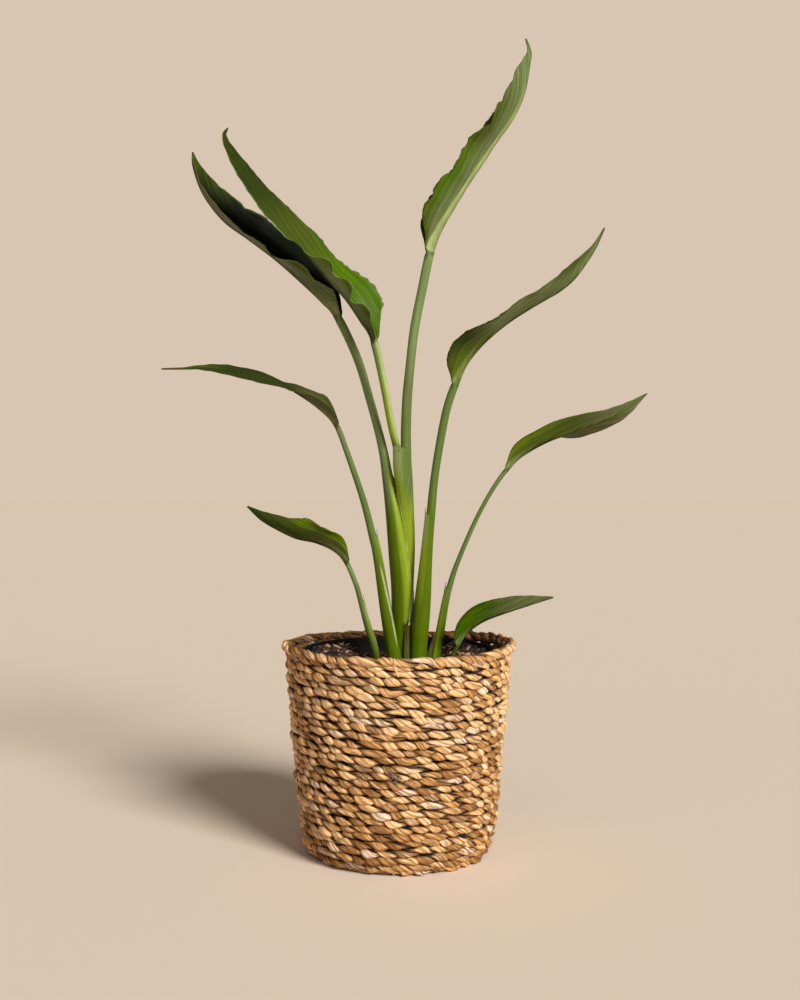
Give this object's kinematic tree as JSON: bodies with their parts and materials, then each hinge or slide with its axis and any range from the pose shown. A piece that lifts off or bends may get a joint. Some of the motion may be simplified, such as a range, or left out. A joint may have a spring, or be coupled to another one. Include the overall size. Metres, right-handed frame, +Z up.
{
  "type": "potted bird of paradise",
  "caption": "Young bird of paradise houseplant with long-stalked, folded and waved leaves, in soil in a plain nursery pot that stands inside a coiled rope basket.",
  "frame": {"origin": "centre of the basket's flat underside", "axes": "+Z up along the basket's axis; -Y is the front; the leaves fan out along X"},
  "size_m": [0.312, 0.15, 0.5242],
  "materials": {
    "rope": "matte, twisted dried plant fibre",
    "pot": "black, slightly glossy",
    "soil": "dark, coarse, matte",
    "leaf": "satin green with lengthwise pleats",
    "dry_sheath": "dry, papery"
  },
  "bodies": {
    "root": {"basket": "rope", "nursery_pot": "pot", "soil": "soil", "leaf_1": "leaf", "leaf_2": "leaf", "leaf_3": "leaf", "leaf_4": "leaf", "leaf_5": "leaf", "leaf_6": "leaf", "leaf_7": "leaf", "leaf_8": "leaf", "dry_sheath_1": "dry_sheath", "dry_sheath_2": "dry_sheath"}
  },
  "joints": []
}
